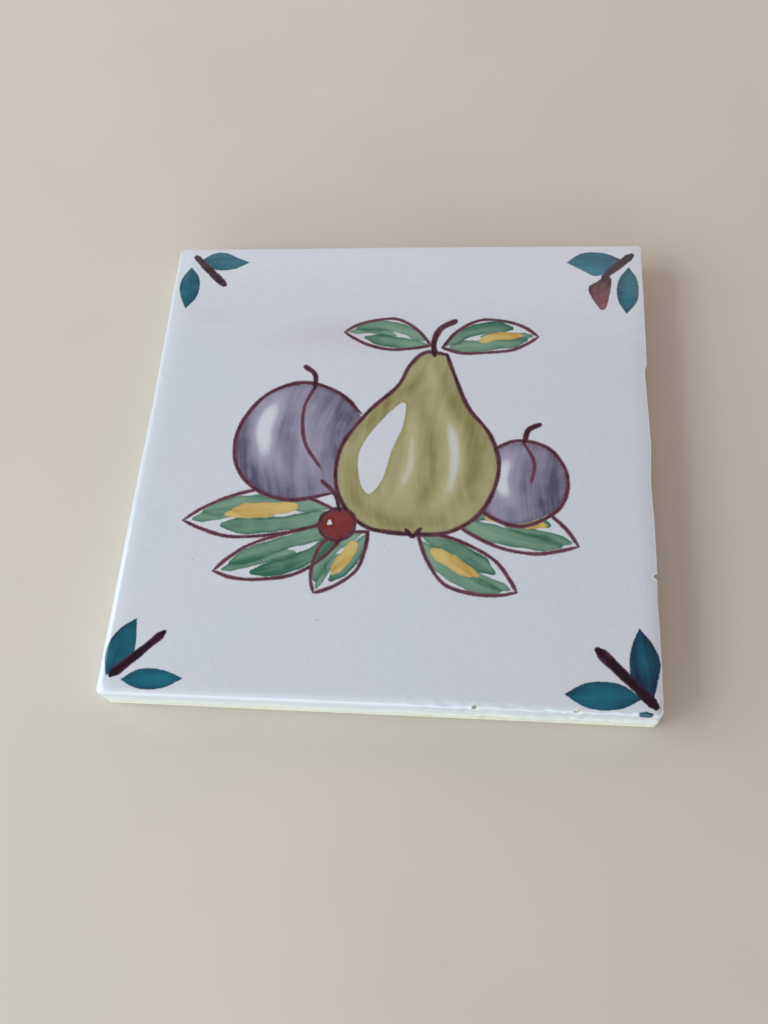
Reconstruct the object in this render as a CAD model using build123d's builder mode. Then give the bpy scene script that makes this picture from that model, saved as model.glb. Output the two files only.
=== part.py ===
from build123d import *
from math import sqrt
import os

# A square glazed earthenware tile, lying face up on its keyed back.
# It was pressed and fired as one piece, so it is one solid.
# The origin is the centre of the back, on the plane that the tile lies on.
# +Z points out of the glazed face, +X to the right edge and -Y to the front edge.

# Outline and section, in millimetres
side = 108.0
thickness = 8.0
corner_radius = 1.1
arris_radius = 1.0
back_bevel = 0.6

# Keyed back: a square grid of shallow pockets, which the bedding fills
key_count = 6
key_margin = 7.0
key_rib = 3.2
key_depth = 0.8
key_draft_angle = 25.0
key_corner_radius = 1.2

# Chips in the glazed arris: shallow round scoops, placed by their distance from the middle of the edge
chip_radius = 1.0
chip_depth = 0.4
front_edge_chips = (19.4, 37.9)
right_edge_chips = (-26.2,)

# Sizes that follow from those above
half_side = side / 2
arris_round = min(arris_radius, 0.95 * corner_radius)
key_field = side - 2 * key_margin
key_pocket = (key_field - (key_count - 1) * key_rib) / key_count
key_pitch = key_pocket + key_rib

# A chip's ball stands off the middle of the arris along its outward diagonal
arris_setback = arris_round * (1 - 1 / sqrt(2))
chip_standoff = (chip_radius - chip_depth) / sqrt(2)
chip_out = half_side - arris_setback + chip_standoff
chip_height = thickness - arris_setback + chip_standoff

with BuildPart() as tile:
    # Pressed blank
    with BuildSketch(Plane.XY):
        RectangleRounded(side, side, corner_radius)
    extrude(amount=thickness)

    # Rounded, glazed arris round the face, and the bevel that lets the blank leave its mould
    fillet(tile.faces().sort_by(Axis.Z)[-1].edges(), radius=arris_round)
    chamfer(tile.faces().sort_by(Axis.Z)[0].edges(), length=back_bevel)

    # Pockets of the keyed back, with drafted walls; the margin and the ribs between stay on the bed plane
    with BuildSketch(Plane.XY):
        with GridLocations(key_pitch, key_pitch, key_count, key_count):
            RectangleRounded(key_pocket, key_pocket, key_corner_radius)
    extrude(amount=key_depth, taper=key_draft_angle, mode=Mode.SUBTRACT)

    # Chips along the front and right edges
    front_places = [(along, -chip_out, chip_height) for along in front_edge_chips]
    right_places = [(chip_out, along, chip_height) for along in right_edge_chips]
    with Locations(*front_places, *right_places):
        Sphere(chip_radius, mode=Mode.SUBTRACT)

tile.part.label = "tile"
os.makedirs("parts", exist_ok=True)
export_step(tile.part, "parts/tile.step")
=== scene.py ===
import bpy
import math
import numpy as np
from mathutils import Matrix, Vector
from mathutils.geometry import delaunay_2d_cdt


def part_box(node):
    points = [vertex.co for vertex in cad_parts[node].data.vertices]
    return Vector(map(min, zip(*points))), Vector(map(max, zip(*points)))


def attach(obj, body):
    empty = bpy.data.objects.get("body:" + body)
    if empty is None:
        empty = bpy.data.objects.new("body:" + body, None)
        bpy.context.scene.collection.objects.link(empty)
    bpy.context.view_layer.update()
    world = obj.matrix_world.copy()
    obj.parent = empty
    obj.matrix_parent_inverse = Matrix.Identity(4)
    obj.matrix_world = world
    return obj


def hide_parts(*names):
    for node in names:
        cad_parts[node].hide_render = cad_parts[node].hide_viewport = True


# A glazed earthenware tile, painted by hand, lying face up on a pale floor.
# Shapes are worked out in millimetres and turned into metres when the mesh is made.

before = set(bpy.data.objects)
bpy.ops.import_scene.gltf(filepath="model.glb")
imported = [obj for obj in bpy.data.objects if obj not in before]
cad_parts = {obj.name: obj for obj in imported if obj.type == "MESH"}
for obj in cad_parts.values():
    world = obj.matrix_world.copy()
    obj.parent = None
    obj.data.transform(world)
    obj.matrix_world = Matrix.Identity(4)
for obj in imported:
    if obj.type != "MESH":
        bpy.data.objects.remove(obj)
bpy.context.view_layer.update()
MM = 0.001

# The tile's box from the frame, in millimetres
tile_low, tile_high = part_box("tile")
HALF = (tile_high[1] - tile_low[1]) / MM / 2
TOP = tile_high[2] / MM

# Edges go round anticlockwise from the near left corner, each along its run: front, right, rear, left
EDGE_RUNS = ((1, 0), (0, 1), (-1, 0), (0, -1))

# Plan corner, and how far the rounded arris runs in over the face: at the near left corner, the middle
# of the front edge, and so on round. It drops down the side by a share of that.
CORNER_RADIUS = 1.1
ARRIS_RUNS = (1.3, 1.8, 0.6, 0.32, 0.3, 0.35, 0.8, 1.4)
ARRIS_DROP = 0.75

# The plan corner widens by this share of how far in over the arris a loop lies
CORNER_SPREAD = 0.5

# The face sinks gently towards each edge: over how far, and by how much at the edge's first and last end
FACE_FALLS = ((3.0, 0.08, 0.10), (3.2, 0.32, 0.12), (3.0, 0.14, 0.16), (4.0, 0.34, 0.38))

# Bevel round the back, and its square keys, as the frame's solid has them. The draft is how far a key's wall
# leans in over its depth, and the unevenness how much shallower a key may be.
BACK_BEVEL = 0.6
KEY_COUNT = 6
KEY_MARGIN = 7.0
KEY_RIB = 3.2
KEY_DEPTH = 0.8
KEY_DRAFT = 0.37
KEY_CORNER = 1.2
KEY_UNEVENNESS = 0.08
KEY_FIELD = 2 * HALF - 2 * KEY_MARGIN
KEY_POCKET = (KEY_FIELD - (KEY_COUNT - 1) * KEY_RIB) / KEY_COUNT
KEY_PITCH = KEY_POCKET + KEY_RIB

# How far the fired outline falls short of a true square, at places along each edge from its middle.
# It stays the same beyond the first and the last.
SHORTFALL = (
    ((-54, 0.0), (54, 0.48)),
    ((-37, 0.0), (-31, 0.20), (-23, 0.0), (-14, 0.08), (-6, 0.34), (3, 0.0), (13, 0.28), (20.5, 0.48),
     (22.0, 0.0)),
    ((-54, 0.05), (54, 0.0)),
    ((-38, 0.28), (-10, 0.38), (15, 0.14), (33, 0.0)),
)

# The glaze stands proud of the bare clay, and thins out to a ragged line low on the sides.
# At a chip it stays thick up to the rim, so its cover grows this many times faster there.
GLAZE_THICKNESS = 0.16
GLAZE_FOOT = 1.5
CHIP_CLIFF = 12

# Chips in the glazed arris: edge, place along it from its middle, radius, depth, and darkening by dirt and
# painted shade
CHIPS = (
    (0, 19.4, 0.52, 0.32, 0.50),
    (0, 38.3, 0.58, 0.16, 0.34),
    (0, 35.7, 0.26, 0.10, 0.25),
    (1, -26.2, 0.75, 0.36, 0.40),
)

# The chips' centres lie this far in from the outline and below the face
CHIP_INSET = 0.4
CHIP_DROP = 0.5

# The mesh of the sides: spacing of the points along an edge and across a chip, steps round a plan corner,
# rows up the straight side from the bevel's top, and rows round the arris
SIDE_STEP = 0.62
CHIP_STEP = 0.16
CORNER_STEPS = 6
SIDE_FOOT = 1.1
SIDE_ROWS = 11
ARRIS_ROWS = 10

# The arris counts as part of the face above this tilt, and creases above this angle stay sharp, in degrees
FACE_TILT = 35
SHARP_ANGLE = 38

# The mesh of the face: spacing of the points at the edges of the paint, and how near the paint and its edges
# the points lie closer together
FINE_STEP = 0.23
PAINT_MARGIN = 0.8
PAINT_EDGE = 0.32

# The painting is worked out this far below the face, and fades out below this depth on the arris
PAINT_DEPTH = 2.5
PAINT_STOP = 1.4

# A distance that is as good as endless, for places that no mark comes near
FAR = 9.0


def ripples(x, y, wavelength, seed, count=7):
    """Smooth uneven waves between about -1 and 1, the same each run."""
    draw = np.random.default_rng(seed)
    total = np.zeros_like(x, dtype=float)
    for _ in range(count):
        angle = draw.uniform(0, 2 * math.pi)
        length = wavelength * draw.uniform(0.65, 1.6)
        phase = draw.uniform(0, 2 * math.pi)
        total += np.sin(2 * math.pi * (x * math.cos(angle) + y * math.sin(angle)) / length + phase)
    return total / math.sqrt(2 * count)


def smooth(value):
    """An even step from 0 to 1 as the value goes from 0 to 1."""
    value = np.clip(value, 0, 1)
    return value * value * (3 - 2 * value)


def bell(value, width):
    """1 at zero, fading away on both sides over the width."""
    return np.exp(-((value / width) ** 2))


def srgb(red, green, blue):
    """A colour as it is seen on screen, from 0 to 255, as the linear values that a material takes."""
    values = []
    for part in (red, green, blue):
        part /= 255
        values.append(part / 12.92 if part <= 0.04045 else ((part + 0.055) / 1.055) ** 2.4)
    return (*values, 1.0)


# Pigments in the order they lie on the glaze: colour where thin, and where it has pooled
PIGMENTS = {
    "green": (srgb(160, 192, 172), srgb(50, 102, 84)),
    "yellow": (srgb(222, 208, 146), srgb(188, 150, 72)),
    "olive": (srgb(192, 190, 150), srgb(124, 116, 66)),
    "lavender": (srgb(182, 181, 201), srgb(84, 80, 106)),
    "red": (srgb(160, 74, 72), srgb(92, 26, 32)),
    "teal": (srgb(22, 136, 156), srgb(0, 34, 64)),
    "smear": (srgb(160, 104, 116), srgb(60, 20, 30)),
    "stem": (srgb(98, 46, 82), srgb(24, 4, 22)),
    "line": (srgb(130, 80, 98), srgb(48, 24, 33)),
}

# Those drawn with a thin brush, which leaves a dark core and a paler edge
DRAWN = ("stem", "line")


# Brush marks

def spline(points, closed=False, steps=8):
    """A smooth curve through given points, as closely spaced ones."""
    p = np.array(points, dtype=float)
    if closed:
        p = np.vstack([p[-1], p, p[0], p[1]])
    else:
        p = np.vstack([2 * p[0] - p[1], p, 2 * p[-1] - p[-2]])
    t = np.linspace(0, 1, steps, endpoint=False)[:, None]
    spans = []
    for a, b, c, d in zip(p, p[1:], p[2:], p[3:]):
        spans.append(b + 0.5 * t * (c - a + t * (2 * a - 5 * b + 4 * c - d + t * (3 * b - a - 3 * c + d))))
    curve = np.vstack(spans)
    return np.vstack([curve, curve[0] if closed else p[-2]])


def nearest(curve, at):
    """Each place's distance from a curve, share of its length and distance to its left, and the length."""
    best = np.full(len(at), np.inf)
    along = np.zeros(len(at))
    left = np.zeros(len(at))
    run = 0.0
    for a, b in zip(curve, curve[1:]):
        step = b - a
        length = math.hypot(*step)
        if length < 1e-9:
            continue
        rel = at - a
        t = np.clip(rel @ step / length**2, 0, 1)
        off = rel - t[:, None] * step
        distance = np.hypot(off[:, 0], off[:, 1])
        nearer = distance < best
        best = np.where(nearer, distance, best)
        along = np.where(nearer, run + t * length, along)
        turn = np.sign(step[0] * rel[:, 1] - step[1] * rel[:, 0])
        left = np.where(nearer, turn * distance, left)
        run += length
    return best, along / run, left, run


def inside(curve, at):
    """Which places a closed curve surrounds."""
    x, y = at[:, 0], at[:, 1]
    odd = np.zeros(len(at), dtype=bool)
    for (ax, ay), (bx, by) in zip(curve, curve[1:]):
        if ay != by:
            crosses = (ay > y) != (by > y)
            odd ^= crosses & (x < ax + (y - ay) * (bx - ax) / (by - ay))
    return odd


def to_edge(curve, at):
    """Distance to a closed curve, negative inside it."""
    distance = nearest(curve, at)[0]
    return np.where(inside(curve, at), -distance, distance)


def rounded(points):
    """A smooth closed outline through given points."""
    return spline(points, closed=True)


def blade(base, tip, left, right):
    """The outline of a pointed leaf. Its sides stand out by the widths given at even shares of its length."""
    base = np.array(base, dtype=float)
    reach = np.array(tip, dtype=float) - base
    across = np.array([-reach[1], reach[0]]) / math.hypot(*reach)
    sides = []
    for widths, turn in ((left, 1), (right, -1)):
        shares = np.linspace(0, 1, len(widths) + 2)
        offs = np.array([0, *widths, 0]) * turn
        sides.append(spline(base + shares[:, None] * reach + offs[:, None] * across))
    return np.vstack([sides[0], sides[1][::-1]])


# A mark's load reaches this far beyond its edge, so that the material still finds it there
BLEED = 0.5

# Each mark lies this far from the last in the brush's coordinates, so that no two have the same streaks
MARK_SPACING = 7.0

# Distances to a stroke or a wash are worked out this far beyond it
STROKE_MARGIN = 2.0
WASH_MARGIN = 3.0

# A stroke is uneven along its length in its width and, where it is drawn, in its load. Each wave has its
# height, how fast it turns with the length, and how far it is shifted from one mark to the next.
WIDTH_WAVES = ((0.09, 0.45, 2.1), (0.05, 1.3, 1.3))
LOAD_WAVES = ((0.09, 0.8, 1.0), (0.06, 2.3, 2.0))


def waver(run, mark, waves):
    """How much more or less of a stroke there is along its length."""
    return sum(height * np.sin(turn * run + shift * mark) for height, turn, shift in waves)


def covered(outside, steepness=1.1):
    """How fully a place lies under a mark, from its distance to the mark's edge, which is negative inside."""
    return smooth(0.5 - steepness * outside)


class Painting:
    """Brush marks at a set of places: each pigment's distance to its edge, negative inside, and its load.

    The brush holds how far along its mark each place lies, how far to the left, and where the mark stands.
    """

    def __init__(self, places):
        self.at = np.asarray(places, dtype=float)
        count = len(self.at)
        self.edge = {pigment: np.full(count, FAR) for pigment in PIGMENTS}
        self.load = np.zeros(count)
        self.line_load = np.zeros(count)
        self.haze = np.zeros(count)
        self.brush = np.zeros((count, 3))
        self.marks = 0

    def near(self, points, margin):
        """The places in a box round some points."""
        low = np.min(points, axis=0) - margin
        high = np.max(points, axis=0) + margin
        return np.flatnonzero(np.all((self.at > low) & (self.at < high), axis=1))

    def lay(self, near, outside, load, along, left):
        """Puts down a mark's load, eased into that of the wet marks beside it, and the way its brush ran."""
        others = np.min([self.edge[pigment][near] for pigment in PIGMENTS if pigment not in DRAWN], axis=0)
        wet = covered(others, 2)
        over = covered(outside)
        on = outside < BLEED
        before = self.load[near]
        self.load[near[on]] = (before + (1 - wet * (1 - over)) * (load - before))[on]
        swept = outside < np.where(others < 0, 0.0, BLEED)
        self.marks += 1
        self.brush[near[swept], 0] = along[swept]
        self.brush[near[swept], 1] = left[swept]
        self.brush[near[swept], 2] = MARK_SPACING * self.marks

    def stroke(self, pigment, points, width, load=1.0, ends=(0.35, 0.35)):
        """One pull of a brush along a curve, with its ends given as shares of its full width."""
        curve = spline(points)
        near = self.near(curve, width + STROKE_MARGIN)
        distance, share, left, length = nearest(curve, self.at[near])
        run = share * length
        swell = 1 + waver(run, self.marks, WIDTH_WAVES)
        reach = max(0.08, 1.2 * width / length)
        taper = np.minimum(1, ends[0] + share / reach) * np.minimum(1, ends[1] + (1 - share) / reach)
        outside = distance - 0.5 * width * swell * np.clip(taper, 0, 1)
        held = self.edge[pigment]
        laid = covered(held[near])
        if pigment in DRAWN:
            # A line is darkest along its core and where the brush first touched, and runs dry towards its end
            on = outside < BLEED
            core = bell(distance, 0.38 * width)
            touch = 0.12 * np.exp(-run / 1.2)
            dwell = load * (0.56 + 0.62 * core + touch - 0.18 * share + waver(run, self.marks, LOAD_WAVES))
            self.line_load[near[on]] = np.maximum(self.line_load[near[on]], dwell[on])
            self.marks += 1
        else:
            # A pull is darker round its rim, towards its end and where it runs over another of its pigment
            pool = bell(np.minimum(outside, 0), 0.45)
            dwell = load * (0.70 + 0.35 * pool + 0.3 * share)
            dwell += laid * (self.load[near] - 0.6 * dwell)
            self.lay(near, outside, dwell, run, left)
        held[near] = np.minimum(held[near], outside)

    def wash(self, pigment, outline, pull, load=1.0, gap=None, rim=0.28):
        """A filled shape, brushed along the pull, that may leave a gap bare. It hides what lay there before.

        The rim is how much more of the pigment has pooled along the shape's edge.
        """
        near = self.near(outline, WASH_MARGIN)
        at = self.at[near]
        shape = to_edge(outline, at)
        outside = shape if gap is None else np.maximum(shape, -to_edge(gap, at))
        share, left, length = nearest(spline(pull), at)[1:]
        pool = bell(np.minimum(outside, 0), 0.7)
        self.lay(near, outside, load * (0.74 + rim * pool), share * length, left)
        for held in self.edge.values():
            held[near] = np.maximum(held[near], -shape)
        self.edge[pigment][near] = np.minimum(self.edge[pigment][near], outside)

    def fade(self, pigment, first, last, start, end):
        """Thins a pigment along a line, from one share of its load at the first end to one at the last."""
        reach = np.array(last, dtype=float) - first
        share = ((self.at - first) @ reach) / (reach @ reach)
        here = self.edge[pigment] < 0.6
        self.load[here] *= start + (end - start) * smooth(share[here])

    def trail(self, curve, width, near):
        """How strong a soft pull along a curve is at some places: it fades to both sides and to both ends."""
        distance, share = nearest(curve, self.at[near])[:2]
        return bell(distance, 0.5 * width) * np.sin(math.pi * (0.12 + 0.76 * share))

    def spread(self, points, width, amount):
        """A trace of manganese that has spread in the glaze."""
        self.haze += amount * self.trail(spline(points), width, slice(None))

    def shade(self, points, width, amount):
        """A darker pull of the brush over a wet wash, or a lifted one where the amount is negative."""
        curve = spline(points)
        near = self.near(curve, 1.2 * width)
        added = amount * self.trail(curve, width, near)
        self.load[near] = np.maximum(self.load[near] + added, 0.0)


# The painted face: fruit on leaves, in the middle of the tile

def leaf(painting, base, tip, width, bow, load=1.0, yellow=None):
    """A broad leaf of loose green pulls with bare gaps between, and a manganese line round it."""
    base = np.array(base, dtype=float)
    tip = np.array(tip, dtype=float)
    reach = tip - base
    across = np.array([-reach[1], reach[0]]) / math.hypot(*reach)

    def at(share, off):
        bend = 4 * bow * share * (1 - share)
        return base + share * reach + (bend + off * math.sin(math.pi * share) ** 0.8) * across

    # A long pull down each half, a short one between them towards the tip, then the yellow and the outline
    for side, first, last in ((-1, 0.10, 0.86), (1, 0.05, 0.74)):
        pull = [at(share, 0.27 * side * width) for share in np.linspace(first, last, 4)]
        painting.stroke("green", pull, 0.36 * width, load * (1 + 0.12 * side))
    middle_pull = [at(0.42, 0.02 * width), at(0.68, -0.06 * width), at(0.93, 0)]
    painting.stroke("green", middle_pull, 0.22 * width, 0.8 * load)
    if yellow:
        share, off, size = yellow
        long_pull = [at(share - 0.20, off - 0.3), at(share - 0.02, off + 0.4), at(share + 0.17, off)]
        painting.stroke("yellow", long_pull, 0.7 * size, 0.85, (0.7, 0.45))
        short_pull = [at(share - 0.06, off + 0.3 * size), at(share + 0.22, off + 0.18 * size)]
        painting.stroke("yellow", short_pull, 0.45 * size, 0.7, (0.7, 0.5))
    line_shares = (0, 0.2, 0.45, 0.7, 0.88, 1)
    for side, held in ((0.53, 0.9), (-0.53, 0.75)):
        wavers = [1 + 0.07 * math.sin(9 * share + 2 * painting.marks) for share in line_shares]
        outline = [at(share, side * waver * width) for share, waver in zip(line_shares, wavers)]
        painting.stroke("line", outline, 0.74, held, (0.6, 0.4))


def leaf_bed(painting):
    """Leaves that the fruit lies on."""
    leaf(painting, (-9, -14.5), (-42, -17), 10, -0.8, 0.9, (0.5, -1.2, 4.2))
    leaf(painting, (-7, -17.5), (-34, -28), 9, 1.4, 1.1)
    leaf(painting, (13, -15), (39, -20.5), 10, 1.4, 1.0, (0.5, 1.4, 3.8))
    leaf(painting, (7, -18.5), (27, -30.5), 9, -1.2, 0.9, (0.42, -0.8, 3.6))
    leaf(painting, (-3, -18.5), (-13, -32), 8.5, -1.2, 0.95, (0.45, 0.8, 3.8))


def plums(painting):
    """A large plum behind on the left, and a small one on the right."""
    large = [(-20, -11.5), (-28.5, -8.5), (-33, 0), (-31.5, 9.5), (-25, 15.5), (-15.5, 15.5), (-7.5, 10),
             (-5, 0), (-10, -9.5)]
    painting.wash("lavender", rounded(large), [(-24.5, 18), (-27.5, 9), (-28, 0), (-26, -11)], 0.95)
    painting.shade([(-30.8, 8), (-31.2, -2), (-26, -8.8), (-17, -9.4)], 5, 0.5)
    painting.shade([(-25.4, 12), (-27.6, 5), (-26, -2)], 4.6, -0.95)
    painting.shade([(-21.6, 12.5), (-22.4, 4), (-20.5, -5)], 3.2, 0.3)
    painting.shade([(-18.2, 10), (-18.4, 2), (-15.5, -5)], 3.0, -0.3)
    painting.shade([(-14.5, 14), (-10, 7), (-10, -5)], 6, 0.5)
    rim = [(-6.5, 9), (-12, 14.2), (-20, 16.7), (-28, 13.3), (-32.9, 5), (-32.6, -3), (-28, -9.1),
           (-20, -11.8), (-11, -10)]
    painting.stroke("line", rim, 0.9, 0.95)
    painting.stroke("line", [(-17, 16.2), (-19.2, 10), (-18.2, 2), (-14, -4.5)], 0.75, 0.75, (0.8, 0.1))
    painting.stroke("line", [(-17.3, 15.6), (-17.6, 18.8), (-19.9, 20.8)], 1.15, 1.2, (0.7, 0.8))

    small = [(27, -16), (20.5, -13.5), (18, -7.5), (20, -1), (26, 2.5), (33, 0.8), (36.5, -5), (35, -12)]
    painting.wash("lavender", rounded(small), [(25, 4), (23.2, -5), (24, -15)], 1.0)
    painting.shade([(25, -1), (23.4, -6), (25, -10.5)], 3.4, -1.0)
    painting.shade([(29, -2.5), (28.6, -8), (28, -13)], 3.0, 0.25)
    painting.shade([(33.5, -1), (34, -8), (30, -14)], 4.5, 0.55)
    rim = [(21, 0.4), (26.6, 3.0), (33.2, 1.2), (36.9, -5), (35.3, -12.2), (28, -16.4), (21, -14.2),
           (18, -10)]
    painting.stroke("line", rim, 0.86, 0.95)
    painting.stroke("line", [(28, 2.6), (30.2, -2), (29.6, -7)], 0.72, 0.75, (0.8, 0.1))
    painting.stroke("line", [(28.2, 2.8), (29, 5.6), (31.4, 7.0)], 1.1, 1.2, (0.7, 0.8))


def pear(painting):
    """A pear in the middle, with a bare highlight down its left side."""
    outline = [(6, -19), (-4, -17.2), (-10, -10), (-10.5, 0), (-5.5, 9), (0.8, 16), (3.3, 21.5), (6.6, 24.8),
               (11.2, 24.2), (13.2, 18.5), (16.2, 11), (21.2, 4), (23, -4), (20, -13), (13.6, -18)]
    gap = [(-5.8, -6.5), (-6.2, 0), (-2.8, 6.5), (2.4, 12), (2.6, 6.5), (0.6, 0.5), (-1, -6.5), (-3.6, -10)]
    painting.wash("olive", rounded(outline), [(8, 24), (4, 10), (3, -6), (6, -18)], 0.80, rounded(gap))
    painting.shade([(9.5, 22), (13, 12), (19, 2), (18, -10)], 4.6, 0.5)
    painting.shade([(-8.5, -4), (-5.5, -12), (3, -16.6), (12, -15.6)], 3.6, 0.45)
    painting.shade([(6, 14), (8.5, 4), (9, -6), (6, -14)], 3.2, 0.4)
    painting.shade([(6.5, 22), (4.5, 17), (-1, 11.6), (-7.6, 3)], 2.6, 0.45)
    painting.shade([(11, 12), (13.4, 3), (13.6, -6), (11, -12)], 3.4, -0.5)
    painting.shade([(16, 5), (17, -4), (14, -12.5)], 2.4, 0.25)
    painting.shade([(4.4, 8), (4.6, -3), (1.5, -12)], 3.0, -0.38)
    painting.shade([(7.4, 21), (9.4, 15.5)], 2.8, -0.3)
    painting.stroke("line", [(8.5, 24), (8.2, 27.5), (9.5, 31), (12.6, 33)], 1.35, 1.2, (0.7, 0.9))
    painting.stroke("line", outline[:9], 0.9, 1.0, (0.6, 0.8))
    painting.stroke("line", outline[8:] + outline[:1], 0.9, 0.95, (0.7, 0.6))
    painting.stroke("line", [(4.6, -17.8), (6, -19.2), (7.6, -17.5)], 1.0, 1.1, (0.6, 0.6))


def cherry(painting):
    """The small red accent."""
    outline = [(-9.5, -13.4), (-12.8, -15.2), (-12.7, -18.9), (-9.5, -20.6), (-6.3, -18.8), (-6.3, -15)]
    glint = [(-11.2, -15.9), (-11.6, -17.1), (-10.6, -17.0)]
    painting.wash("red", rounded(outline), [(-10, -14), (-11, -17), (-9, -20)], 0.95, rounded(glint))
    painting.stroke("line", outline + outline[:2], 0.78, 0.9)
    painting.stroke("line", [(-9.3, -14), (-10.6, -10.2), (-13.6, -7.2)], 0.85, 1.0, (0.8, 0.7))


def stalk_leaves(painting):
    """Two leaves at the pear's stalk."""
    leaf(painting, (10, 26), (31, 29), 8.5, 1.6, 1.05, (0.62, -0.6, 2.6))
    leaf(painting, (7.6, 26.6), (-12, 30), 7.5, -1.4, 0.95)


def teal_leaf(painting, base, tip, left, right, load, light=0.3):
    """One leaf of a corner sprig, a little darker round its rim than along its middle."""
    painting.wash("teal", blade(base, tip, left, right), [base, tip], load, rim=0.1)
    middle = [tuple((1 - share) * np.array(base) + share * np.array(tip)) for share in (0.3, 0.55, 0.85)]
    painting.shade(middle, 2.6, -light)


def corner_sprigs(painting):
    """A sprig of two leaves on a short stem in each corner, each pulled a little differently."""
    # Far left
    teal_leaf(painting, (-48.4, 49.8), (-36.2, 49.6), (2.5, 2.7, 1.3), (1.9, 2.4, 1.8), 1.08, 0.2)
    teal_leaf(painting, (-50.1, 48.3), (-49.8, 36.4), (2.1, 2.6, 2.1), (1.8, 2.2, 1.4), 1.08, 0.15)
    painting.stroke("stem", [(-49.3, 51.2), (-45.4, 47.1), (-41.5, 43.2)], 1.7, 1.3, (0.75, 0.8))
    # Far right, with its stem smudged at the inner end
    teal_leaf(painting, (49.6, 49.8), (37.2, 49.2), (2.9, 4.1, 2.2), (1.9, 2.6, 2.2), 1.15, 0.0)
    painting.shade([(46.8, 46.6), (44.0, 46.4), (40.2, 48.0)], 4.8, -0.5)
    teal_leaf(painting, (51.0, 47.9), (50.1, 35.1), (1.9, 2.4, 2.0), (1.9, 2.4, 1.9), 1.12, 0.1)
    smudge = rounded([(46.2, 45.4), (43.8, 43.8), (42.0, 42.2), (42.6, 39.6), (44.4, 36.4), (45.6, 36.6),
                      (46.4, 39.4), (47.1, 44.0)])
    painting.wash("smear", smudge, [(46.4, 45), (44.6, 41), (45, 36.5)], 1.6, rim=0.12)
    painting.fade("smear", (44.6, 44.5), (46.6, 36.5), 1.0, 0.42)
    painting.stroke("stem", [(51.7, 51.1), (48.6, 48.2), (46.4, 46.1), (45.3, 44.4)], 1.75, 1.3, (0.6, 0.7))
    # Near left
    teal_leaf(painting, (-52.3, -50.4), (-48.0, -38.5), (2.1, 2.8, 2.1), (3.0, 3.0, 1.7), 1.2, 0.15)
    teal_leaf(painting, (-49.2, -51.1), (-36.7, -50.3), (1.9, 2.1, 1.4), (1.7, 2.1, 1.6), 1.12, 0.2)
    painting.stroke("stem", [(-51.2, -50.2), (-46.4, -45.7), (-41.9, -41.2)], 1.75, 1.3, (0.6, 0.5))
    # Near right, with a spot of the leaf colour on the arris
    teal_leaf(painting, (52.0, -50.8), (50.0, -36.8), (2.9, 3.1, 2.1), (1.5, 2.7, 2.0), 1.4, 0.1)
    teal_leaf(painting, (50.2, -50.3), (35.9, -50.1), (2.0, 2.6, 2.1), (2.3, 2.8, 2.2), 1.2, 0.15)
    painting.stroke("teal", [(49.5, -53.1), (50.6, -53.3), (51.8, -53.2)], 1.3, 0.95)
    painting.stroke("stem", [(52.4, -51.6), (47.4, -46.6), (42.2, -41.4)], 2.0, 1.4, (0.7, 0.6))


def traces(painting):
    """Faint traces of manganese that spread in the glaze above the fruit, and two specks of it below."""
    painting.spread([(-28, 27.6), (-17, 29.6), (-8, 28.6), (3, 26.8)], 8.0, 0.6)
    painting.spread([(-47, 35.2), (-43.5, 34.8), (-39.5, 34.4)], 4.5, 0.45)
    painting.stroke("line", [(-38.8, -25.9), (-38.4, -25.6)], 0.4, 0.12)
    painting.stroke("line", [(-11.9, -37.7), (-11.4, -37.5)], 0.4, 0.10)


def painted(places):
    """The whole painting, worked out at the given places on the face."""
    painting = Painting(places)
    traces(painting)
    leaf_bed(painting)
    plums(painting)
    pear(painting)
    cherry(painting)
    stalk_leaves(painting)
    corner_sprigs(painting)
    return painting


# The tile's surface

def edge_ways(side):
    """Which way an edge of the tile runs, and which way it faces."""
    run = np.array(EDGE_RUNS[side], dtype=float)
    return run, np.array([run[1], -run[0]])


def columns():
    """The points of a loop round the tile: each one's edge, its place there and its turn into the corner."""
    straight = HALF - CORNER_RADIUS
    found = []
    for side in range(4):
        places = np.linspace(-straight, straight, round(2 * straight / SIDE_STEP) + 1)
        for edge, middle, radius, *_ in CHIPS:
            if edge == side:
                # The points lie closer together across a chip and just beyond it
                reach = 2.2 * radius
                dense = np.arange(middle - reach, middle + reach, CHIP_STEP)
                places = np.concatenate([places[np.abs(places - middle) > reach], dense])
        places = np.unique(places)
        places = places[np.insert(np.diff(places) > 0.4 * CHIP_STEP, 0, True)]
        found += [(side, place, 0.0) for place in places]
        found += [(side, straight, turn) for turn in np.linspace(0, 1, CORNER_STEPS + 1)[1:-1]]
    return np.array(found)


def arris_runs(ring):
    """How far the arris runs in over the face at each point of the loop."""
    way_round = ring[:, 0] + np.where(ring[:, 2] > 0, 1.0, (ring[:, 1] / HALF + 1) / 2)
    return np.interp(way_round, np.linspace(0, 4, len(ARRIS_RUNS) + 1), (*ARRIS_RUNS, ARRIS_RUNS[0]))


def loop(ring, inset):
    """The loop at a distance inside the outline, and which way each of its points faces."""
    reference = HALF - CORNER_RADIUS
    radius = CORNER_RADIUS + CORNER_SPREAD * inset
    straight = HALF - inset - radius
    side = ring[:, 0].astype(int)
    angle = ring[:, 2] * math.pi / 2
    turning = ring[:, 2] > 0
    along = np.where(turning, straight + radius * np.sin(angle), ring[:, 1] * straight / reference)
    out = np.where(turning, straight + radius * np.cos(angle), straight + radius)
    run = np.array(EDGE_RUNS, dtype=float)[side]
    outward = np.stack([run[:, 1], -run[:, 0]], axis=1)
    facing = np.sin(angle)[:, None] * run + np.cos(angle)[:, None] * outward
    return along[:, None] * run + out[:, None] * outward, facing


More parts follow.
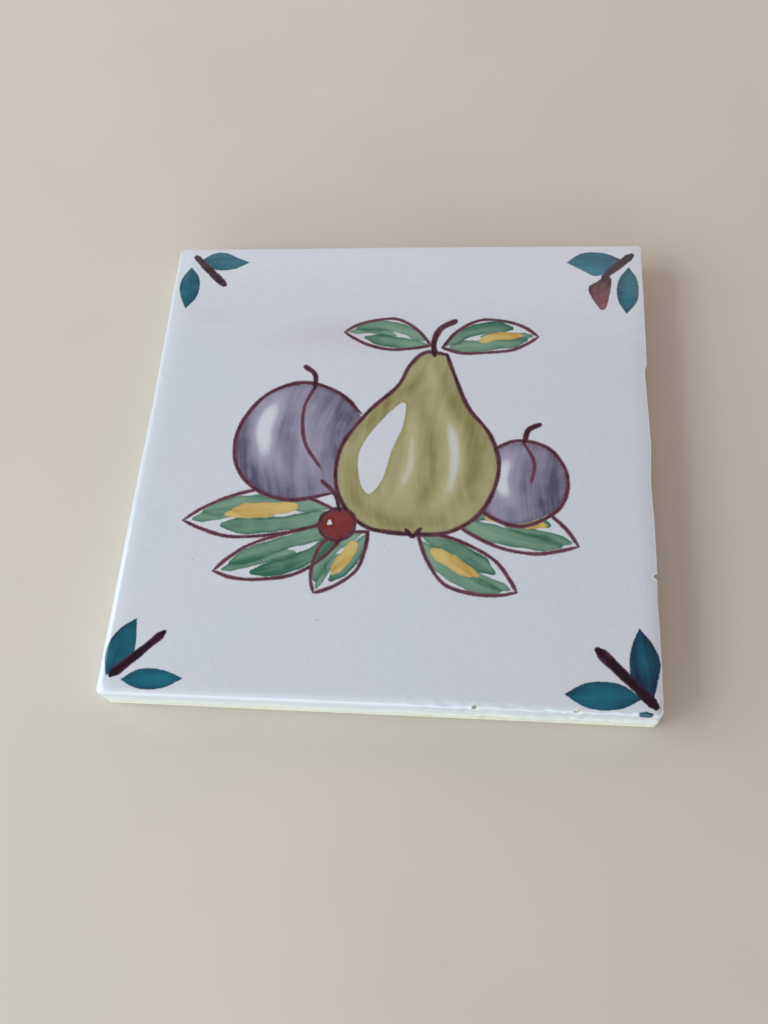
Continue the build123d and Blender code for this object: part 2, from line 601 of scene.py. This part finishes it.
def profile(runs):
    """The section of the edge from the back to the face: inset, height and the tilt of the surface there."""
    # The bevel, softened in the firing, then the straight side, then the arris
    rows = [(BACK_BEVEL, 0.0, -60.0), (0.22, 0.18, -45.0), (0.05, 0.42, -20.0), (0.0, 0.75, 0.0)]
    drops = ARRIS_DROP * runs
    for share in np.linspace(0, 1, SIDE_ROWS):
        rows.append((0.0, SIDE_FOOT + share * (TOP - drops - SIDE_FOOT), 0.0))
    for tilt in np.linspace(10, 90, ARRIS_ROWS):
        angle = math.radians(tilt)
        rows.append((runs * (1 - math.cos(angle)), TOP - drops * (1 - math.sin(angle)), tilt))
    return rows


def chip_reach(points):
    """How far inside a chip each point is, less than nothing outside it, the depth, and the darkening by dirt
    and painted shade there.
    """
    reach = np.full(len(points), -FAR)
    depth = np.zeros(len(points))
    dirt = np.zeros(len(points))
    for edge, middle, radius, deepest, darkened in CHIPS:
        run, outward = edge_ways(edge)
        centre = np.array([*(middle * run + (HALF - CHIP_INSET) * outward), TOP - CHIP_DROP])
        ragged = radius * (1 + 0.3 * ripples(points[:, 0] + points[:, 1], points[:, 2], 1.2, 31 + edge))
        held = 1 - np.linalg.norm(points - centre, axis=1) / ragged
        depth = np.maximum(depth, deepest * smooth(1.6 * held))
        # Dirt and painted shade darken the chip and a little beyond its rim
        dirt = np.maximum(dirt, darkened * smooth(2.2 * held + 0.9))
        reach = np.maximum(reach, held * radius)
    return reach, depth, dirt


def glaze_cover(points, tilt):
    """How far each point is inside the glazed area, how deep its surface is sunk, and its darkening by dirt
    and painted shade.
    """
    x, y, z = points.T
    # The line where the glaze stops runs up and down by about a millimetre
    foot = GLAZE_FOOT + 0.7 * ripples(x, y, 15, 3) + 0.3 * ripples(x, y, 4.5, 4)
    reach, chip_depth, dirt = chip_reach(points)
    cover = np.minimum(np.where(z < TOP - 0.2, z - foot, FAR), -CHIP_CLIFF * reach)
    # Slow waves of a few hundredths of a millimetre
    waves = 0.035 + 0.022 * ripples(x, y, 17, 5) + 0.008 * ripples(x, y, 4.2, 6)
    # The glaze has crawled into beads along the right half of the front arris
    beaded = smooth((x - 2) / 12) * smooth((-y - HALF + 4) / 3) * np.cos(np.radians(tilt)) ** 0.5
    beads = 0.08 + 0.12 * ripples(x, y + z, 2.6, 7)
    bare = 1 - smooth(cover / 0.5 + 0.5)
    sunk = waves + beaded * np.maximum(beads, 0) + GLAZE_THICKNESS * bare * (tilt < 60) + chip_depth
    upward = np.sin(np.radians(np.maximum(tilt, 0)))
    for side, (width, first, last) in enumerate(FACE_FALLS):
        run, outward = edge_ways(side)
        inward = HALF - points[:, :2] @ outward
        drop = first + (last - first) * (points[:, :2] @ run / HALF + 1) / 2
        sunk += drop * np.clip(1 - inward / width, 0, 1) ** 2 * upward
    return cover, sunk, dirt


def fall_short(points):
    """Draws the outline in to the true edges, which are out of square and uneven, less so near the back."""
    moved = points.copy()
    height = points[:, 2] if points.shape[1] == 3 else TOP
    held = 0.4 + 0.6 * smooth((height - 2) / 4)
    for side, shortfall in enumerate(SHORTFALL):
        run, outward = edge_ways(side)
        along = points[:, :2] @ run
        out = points[:, :2] @ outward
        uneven = 0.01 + 0.04 * ripples(along, 0 * along, 24, 11 + side)
        drawn = held * (np.interp(along, *np.array(shortfall).T) + np.maximum(uneven, 0))
        moved[:, :2] -= (drawn * smooth((out - HALF + 12) / 12))[:, None] * outward
    return moved


def lattice(rim):
    """Points inside the face's rim, on a lattice that is fine only in the paint and finest at its edges."""
    count = int(HALF / FINE_STEP)
    steps = np.arange(-count, count + 1)
    i, j = [grid.ravel() for grid in np.meshgrid(steps, steps)]
    places = np.stack([i, j], axis=1) * FINE_STEP
    edges = np.stack(list(painted(fall_short(places)).edge.values()))
    coarse = (i % 4 == 0) & (j % 4 == 0)
    middling = (i % 2 == 0) & (j % 2 == 0) & (edges.min(axis=0) < PAINT_MARGIN)
    fine = np.abs(edges).min(axis=0) < PAINT_EDGE
    places = places[coarse | middling | fine]
    # No point lies so near the rim that it would make a sliver of a face
    outer = np.abs(places).max(axis=1) > HALF - 2 * max(ARRIS_RUNS)
    kept = ~outer
    kept[outer] = to_edge(np.vstack([rim, rim[:1]]), places[outer]) < -0.6 * FINE_STEP
    return places[kept]


def triangles(points, rim, holes=()):
    """Triangles inside a closed rim, as indices of the points. Those of the rim and the holes come first."""
    flat = [Vector(point) for point in points]
    edges = []
    for first, count in holes:
        edges += [(first + k, first + (k + 1) % count) for k in range(count)]
    made = delaunay_2d_cdt(flat, edges, [list(range(rim))], 1, 1e-6)
    source = [merged[0] for merged in made[3]]
    return [tuple(source[corner] for corner in face) for face in made[2]]


def key_loop(inset):
    """The outline of one square key about its own centre, drawn in by the inset."""
    half = KEY_POCKET / 2 - inset
    points = []
    for quarter in range(4):
        for turn in (0, 30, 60, 90):
            angle = math.radians(90 * quarter + turn)
            middle = math.radians(90 * quarter + 45)
            corner = (half - KEY_CORNER) * math.sqrt(2)
            points.append((corner * math.cos(middle) + KEY_CORNER * math.cos(angle),
                           corner * math.sin(middle) + KEY_CORNER * math.sin(angle)))
    return np.array(points)


class TileMesh:
    """Gathers the tile's points and faces, with each face's part: face, back or one of the four sides."""

    def __init__(self):
        self.points = []
        self.cover = []
        self.dirt = []
        self.count = 0
        self.faces = []
        self.parts = []

    def add(self, points, cover, dirt):
        """Adds points with their glaze and their darkening by dirt and painted shade, and says at which index
        they start.
        """
        self.points.append(points)
        self.cover.append(cover)
        self.dirt.append(dirt)
        first = self.count
        self.count += len(points)
        return first

    def face(self, corners, part):
        self.faces.append(corners)
        self.parts.append(part)


def build_sides(mesh, ring):
    """The edge of the tile, row by row from the back's rim to the face's."""
    rows = profile(arris_runs(ring))
    width = len(ring)
    for inset, height, tilt in rows:
        plan, facing = loop(ring, inset)
        points = np.column_stack([plan, np.zeros(width) + height])
        cover, sunk, dirt = glaze_cover(points, np.full(width, tilt))
        # The bevel is bare clay, without the glaze's waves
        if tilt < 0:
            sunk *= 0
        angle = math.radians(tilt)
        normal = np.column_stack([facing * math.cos(angle), np.full(width, math.sin(angle))])
        mesh.add(points - sunk[:, None] * normal, cover, dirt)
    side = ring[:, 0].astype(int)
    for row in range(len(rows) - 1):
        on_face = rows[row][2] > FACE_TILT
        for column in range(width):
            beside = (column + 1) % width
            corners = (row * width + column, row * width + beside,
                       (row + 1) * width + beside, (row + 1) * width + column)
            mesh.face(corners, "face" if on_face else int(side[column]))
    return (len(rows) - 1) * width


def build_face(mesh, ring, rim_start):
    """The glazed face inside the arris."""
    rim = loop(ring, arris_runs(ring))[0]
    places = lattice(rim)
    points = np.column_stack([places, np.full(len(places), TOP)])
    cover, sunk, dirt = glaze_cover(points, np.full(len(places), 90.0))
    first = mesh.add(points - np.outer(sunk, (0, 0, 1)), cover, dirt)
    width = len(ring)
    for corners in triangles(np.vstack([rim, places]), width):
        mesh.face(tuple(rim_start + c if c < width else first + c - width for c in corners), "face")


def build_back(mesh, ring):
    """The keyed back, seen from below."""
    rim = loop(ring, BACK_BEVEL)[0]
    width = len(ring)
    middle = (KEY_COUNT - 1) / 2
    draw = np.random.default_rng(21)
    outline = [rim]
    holes = []
    starts = {}
    size = len(key_loop(0))
    count = width
    for row in range(KEY_COUNT):
        for column in range(KEY_COUNT):
            centre = np.array([column - middle, row - middle]) * KEY_PITCH
            depth = KEY_DEPTH - draw.uniform(0.0, KEY_UNEVENNESS)
            first = mesh.count
            # The wall from the rim to the floor, softened where it meets each
            wall = ((0, 0), (0.06, 0.10), (0.85 * KEY_DRAFT, depth - 0.12), (KEY_DRAFT + 0.18, depth))
            for inset, height in wall:
                flat = key_loop(inset) + centre
                mesh.add(np.column_stack([flat, np.full(size, height)]), np.full(size, -FAR), np.zeros(size))
            steps = len(wall) - 1
            for step in range(steps):
                for k in range(size):
                    a = first + step * size + k
                    b = first + step * size + (k + 1) % size
                    mesh.face((a + size, b + size, b, a), "back")
            floor = [first + steps * size + k for k in range(size)]
            mesh.face(tuple(reversed(floor)), "back")
            outline.append(key_loop(0) + centre)
            holes.append((count, size))
            starts[count] = first
            count += size
    source = np.arange(count)
    for start, first in starts.items():
        source[start:start + size] = first + np.arange(size)
    flat = np.vstack(outline)
    for corners in triangles(flat, width, holes):
        keys = {(c - width) // size if c >= width else -1 for c in corners}
        if len(keys) > 1 or -1 in keys:
            mesh.face(tuple(int(source[c]) for c in reversed(corners)), "back")


# The flat map, in shares of its width: the face is large, with the back in a strip to its right and the sides
# in four strips above it
MAP_MARGIN = 0.01
MAP_FACE = 0.82
MAP_STRIPS = 0.85
MAP_BACK_WIDTH = 0.14
MAP_SIDE_WIDTH = 0.98
MAP_SIDE_HEIGHT = 0.032
MAP_SIDE_PITCH = 0.036


def map_place(part, point):
    """Where a point of a part lies on the flat map."""
    across, up = (point[:2] / HALF + 1) / 2
    if part == "face":
        return MAP_MARGIN + MAP_FACE * across, MAP_MARGIN + MAP_FACE * up
    if part == "back":
        return MAP_STRIPS + MAP_BACK_WIDTH * across, MAP_MARGIN + MAP_FACE * up
    along = (point[:2] @ np.array(EDGE_RUNS[part], dtype=float) / HALF + 1) / 2
    strip = MAP_STRIPS + MAP_SIDE_PITCH * part
    return MAP_MARGIN + MAP_SIDE_WIDTH * along, strip + MAP_SIDE_HEIGHT * point[2] / TOP


def build_tile():
    """The whole tile as one closed mesh, with the painting held at its points."""
    ring = columns()
    mesh = TileMesh()
    rim_start = build_sides(mesh, ring)
    build_face(mesh, ring, rim_start)
    build_back(mesh, ring)
    points = fall_short(np.vstack(mesh.points))
    data = bpy.data.meshes.new("glazed_tile")
    data.from_pydata(points * MM, [], mesh.faces)
    # Points low on the sides and on the back count as far away from every mark
    on_top = points[:, 2] > TOP - PAINT_DEPTH
    painting = painted(np.where(on_top[:, None], points[:, :2], 10 * HALF))
    over_side = 2 * np.maximum(TOP - PAINT_STOP - points[:, 2], 0)
    held = {f"{pigment}_edge": edge + over_side for pigment, edge in painting.edge.items()}
    held.update(paint_load=painting.load, line_load=painting.line_load, haze=painting.haze)
    held.update(glaze_cover=np.concatenate(mesh.cover), dirt=np.concatenate(mesh.dirt))
    for name, values in held.items():
        data.attributes.new(name, "FLOAT", "POINT").data.foreach_set("value", values.astype(np.float32))
    brush = data.attributes.new("brush", "FLOAT_VECTOR", "POINT")
    brush.data.foreach_set("vector", painting.brush.astype(np.float32).ravel())
    flat_map = data.uv_layers.new(name="OFBake")
    places = []
    for part, face in zip(mesh.parts, mesh.faces):
        places += [map_place(part, points[corner]) for corner in face]
    flat_map.data.foreach_set("uv", np.array(places, dtype=np.float32).ravel())
    data.shade_smooth()
    data.set_sharp_from_angle(angle=math.radians(SHARP_ANGLE))
    tile = bpy.data.objects.new("glazed_tile", data)
    bpy.context.collection.objects.link(tile)
    return tile


# Materials

class Shader:
    """Short calls for the nodes of one material."""

    def __init__(self, name):
        self.material = bpy.data.materials.new(name)
        self.material.use_nodes = True
        self.tree = self.material.node_tree
        self.tree.nodes.clear()
        coordinates = self.tree.nodes.new("ShaderNodeTexCoord")
        self.place = self.stretch(coordinates.outputs["Object"], (1 / MM, 1 / MM, 1 / MM))

    def put(self, socket, value):
        if isinstance(value, bpy.types.NodeSocket):
            self.tree.links.new(value, socket)
        else:
            socket.default_value = value

    def node(self, kind, inputs, **settings):
        """A node with its settings, its inputs given as values or as other nodes' sockets."""
        made = self.tree.nodes.new(kind)
        for name, value in settings.items():
            setattr(made, name, value)
        for name, value in inputs.items():
            self.put(made.inputs[name], value)
        return made

    def stretch(self, vector, scale):
        return self.node("ShaderNodeVectorMath", {0: vector, 1: scale}, operation="MULTIPLY").outputs[0]

    def held(self, name, output="Fac"):
        """What the mesh holds at its points under a name."""
        return self.node("ShaderNodeAttribute", {}, attribute_name=name).outputs[output]

    def sum(self, first, second):
        return self.node("ShaderNodeMath", {0: first, 1: second}, operation="ADD").outputs[0]

    def times(self, first, second, clamp=False):
        made = self.node("ShaderNodeMath", {0: first, 1: second}, operation="MULTIPLY", use_clamp=clamp)
        return made.outputs[0]

    def step(self, value, start, end, low=0.0, high=1.0):
        """Goes evenly from low to high as the value goes from start to end."""
        inputs = {"Value": value, "From Min": start, "From Max": end, "To Min": low, "To Max": high}
        return self.node("ShaderNodeMapRange", inputs, interpolation_type="SMOOTHSTEP").outputs[0]

    def noise(self, scale, detail=2.0, place=None, low=0.3, high=0.7):
        """Blotches between 0 and 1, the scale being how many there are to a millimetre."""
        inputs = {"Vector": place or self.place, "Scale": scale, "Detail": detail}
        return self.step(self.node("ShaderNodeTexNoise", inputs).outputs[0], low, high)

    def blend(self, share, first, second):
        made = self.node("ShaderNodeMix", {0: share, 6: first, 7: second}, data_type="RGBA")
        return made.outputs[2]

    def bump(self, height, distance, normal=None):
        """Relief this many millimetres high, on top of any that the normal already holds."""
        inputs = {"Height": height, "Distance": distance * MM, "Strength": 1.0}
        if normal:
            inputs["Normal"] = normal
        return self.node("ShaderNodeBump", inputs).outputs[0]

    def finish(self, inputs):
        """Joins the surface to the material's output, and gives the material."""
        surface = self.node("ShaderNodeBsdfPrincipled", inputs)
        self.node("ShaderNodeOutputMaterial", {"Surface": surface.outputs[0]})
        return self.material


# Colours of the glaze, the clay and the floor
GLAZE_THICKER = srgb(208, 211, 221)
GLAZE_THINNER = srgb(205, 211, 222)
GLAZE_SPECKLES = srgb(213, 217, 224)
GLAZE_HAZE = srgb(200, 194, 204)
# Thin glaze over clay, made paler still as a painted glow on the low sides
GLAZE_OVER_CLAY_WITH_GLOW = srgb(240, 245, 233)
CLAY_PALE = srgb(228, 225, 208)
CLAY_DARK = srgb(219, 215, 197)
CLAY_GRAINS = srgb(203, 198, 180)
# Dirt and painted shade, darkening the clay in the chips' hollows
DIRT_AND_SHADE = srgb(88, 84, 80)
FLOOR_PALE = srgb(209, 200, 190)
FLOOR_DARK = srgb(205, 197, 188)


def glazed_earthenware():
    """Glossy tin glaze with the painting fired into it, over cream clay that shows where the glaze stops."""
    shader = Shader("glazed_earthenware")
    # Milky glaze, a little mottled where it lies thicker or thinner
    cloudy = shader.noise(0.04, 2.0)
    speckled = shader.noise(0.9, 3.0)
    colour = shader.blend(cloudy, GLAZE_THICKER, GLAZE_THINNER)
    colour = shader.blend(shader.times(speckled, 0.35), colour, GLAZE_SPECKLES)
    colour = shader.blend(shader.held("haze"), colour, GLAZE_HAZE)
    # Pigments, each with a soft uneven edge, streaks from the brush and a darker rim where it pooled
    fray = shader.sum(shader.times(shader.noise(2.6, 2.0), 0.10), -0.05)
    brush = shader.held("brush", "Vector")
    hairs = shader.noise(1.0, 1.0, shader.stretch(brush, (0.10, 1.5, 1.0)))
    pulls = shader.noise(1.0, 1.0, shader.stretch(brush, (0.07, 0.42, 1.0)))
    wet = shader.noise(0.28, 3.0)
    streaks = shader.sum(shader.times(hairs, 0.13), shader.times(pulls, 0.26))
    uneven = shader.sum(streaks, shader.times(wet, 0.16))
    wash_load = shader.times(shader.held("paint_load"), shader.sum(uneven, 0.72))
    drawn_uneven = shader.times(shader.noise(0.5, 2.0), 0.25)
    line_load = shader.times(shader.held("line_load"), shader.sum(drawn_uneven, 0.9))
    for pigment, (thin, thick) in PIGMENTS.items():
        # A thin load lets the glaze through, and a drawn line has the softer edge
        load = line_load if pigment in DRAWN else wash_load
        edge = shader.sum(shader.held(f"{pigment}_edge"), fray)
        tone = shader.blend(shader.times(load, 0.78, clamp=True), thin, thick)
        soft = 0.22 if pigment in DRAWN else 0.14
        cover = shader.times(shader.step(edge, soft, -0.14), shader.times(load, 3.0, clamp=True))
        colour = shader.blend(cover, colour, tone)
    # Bare clay at the foot of the sides, in the chips and on the back
    grains = shader.noise(1.7, 4.0)
    clay = shader.blend(shader.noise(0.16, 3.0), CLAY_PALE, CLAY_DARK)
    clay = shader.blend(shader.times(grains, 0.3), clay, CLAY_GRAINS)
    # The chips' clay is darkened, partly by dirt and partly by painted shade in their hollows
    clay = shader.blend(shader.held("dirt"), clay, DIRT_AND_SHADE)
    reach = shader.sum(shader.held("glaze_cover"), shader.times(shader.noise(1.1, 3.0), 0.3))
    glazed = shader.step(reach, 0.05, 0.25)
    # The clay shows through where the glaze thins out down the sides
    # This pale band is made lighter as painted light, for the glow that the floor and lamps throw on the low
    # sides
    thinned_with_glow = shader.step(reach, 0.2, 5.4)
    colour = shader.blend(thinned_with_glow, shader.blend(0.7, colour, GLAZE_OVER_CLAY_WITH_GLOW), colour)
    colour = shader.blend(glazed, clay, colour)
    # Glossy glaze with faint waves and pinholes, and matt, grainy clay
    gloss = shader.sum(shader.times(speckled, 0.05), 0.12)
    matt = shader.step(glazed, 0.0, 1.0, 0.86, 0.0)
    pinholes = shader.step(shader.noise(0.55, 0.0, low=0.0, high=1.0), 0.95, 0.99)
    relief = shader.bump(shader.noise(0.55, 1.0), 0.012)
    relief = shader.bump(pinholes, -0.05, relief)
    texture = shader.times(grains, shader.step(glazed, 0.0, 1.0, 1.0, 0.0))
    relief = shader.bump(texture, 0.07, relief)
    return shader.finish({
        "Base Color": colour,
        "Roughness": shader.sum(gloss, shader.times(matt, 0.85)),
        "Normal": relief,
        "IOR": 1.5,
    })


def pale_floor():
    """The plain pale surface that the tile lies on."""
    shader = Shader("pale_floor")
    colour = shader.blend(shader.noise(0.02, 2.0), FLOOR_PALE, FLOOR_DARK)
    return shader.finish({"Base Color": colour, "Roughness": 0.65})


tile = build_tile()
tile.data.materials.append(glazed_earthenware())
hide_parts("tile")
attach(tile, "root")

# Floor

FLOOR_HALF = 1500 * MM
floor_mesh = bpy.data.meshes.new("floor")
corners = [(-FLOOR_HALF, -FLOOR_HALF, 0), (FLOOR_HALF, -FLOOR_HALF, 0), (FLOOR_HALF, FLOOR_HALF, 0),
           (-FLOOR_HALF, FLOOR_HALF, 0)]
floor_mesh.from_pydata(corners, [], [(0, 1, 2, 3)])
floor = bpy.data.objects.new("floor", floor_mesh)
floor_mesh.materials.append(pale_floor())
bpy.context.collection.objects.link(floor)


# Light

def window(name, place, size, power, colour):
    """A soft rectangular light at a place, facing the tile, in millimetres and watts."""
    light = bpy.data.lights.new(name, "AREA")
    light.shape = "RECTANGLE"
    light.size = size[0] * MM
    light.size_y = size[1] * MM
    light.energy = power
    light.color = colour
    made = bpy.data.objects.new(name, light)
    made.location = Vector(place) * MM
    made.rotation_euler = (-Vector(place)).to_track_quat("-Z", "Y").to_euler()
    bpy.context.collection.objects.link(made)


window("window_left", (-680, -130, 350), (860, 560), 6.85, (0.80, 0.95, 1.0))
window("window_front", (-120, -600, 145), (820, 270), 2.5, (0.80, 0.96, 1.0))
window("window_rear", (50, 430, 280), (700, 320), 0.78, (1.0, 0.95, 0.95))

ROOM_COLOUR = srgb(241, 217, 206)
ROOM_STRENGTH = 0.375
world = bpy.data.worlds.new("room")
bpy.context.scene.world = world
world.use_nodes = True
room = world.node_tree.nodes["Background"]
room.inputs["Color"].default_value = ROOM_COLOUR
room.inputs["Strength"].default_value = ROOM_STRENGTH

# Camera, at the place that the edges of the tile in the photograph give, in millimetres, degrees and pixels

CAMERA_PLACE = (21.89, -95.32, 187.35)
CAMERA_AIM = (-0.10, -14.03, 8.0)
CAMERA_ROLL = -12.35
FOCAL_PIXELS = 970.0
FRAME_HEIGHT = 1024
SENSOR = 36.0

camera_data = bpy.data.cameras.new("camera")
camera_data.sensor_width = SENSOR
camera_data.lens = FOCAL_PIXELS / FRAME_HEIGHT * SENSOR
camera_data.clip_start = 0.01
camera = bpy.data.objects.new("camera", camera_data)
turn = (Vector(CAMERA_AIM) - Vector(CAMERA_PLACE)).to_track_quat("-Z", "Y").to_matrix().to_4x4()
roll = Matrix.Rotation(math.radians(CAMERA_ROLL), 4, "Z")
camera.matrix_world = Matrix.Translation(Vector(CAMERA_PLACE) * MM) @ turn @ roll
bpy.context.collection.objects.link(camera)
bpy.context.scene.camera = camera

bpy.context.scene.view_settings.view_transform = "Standard"
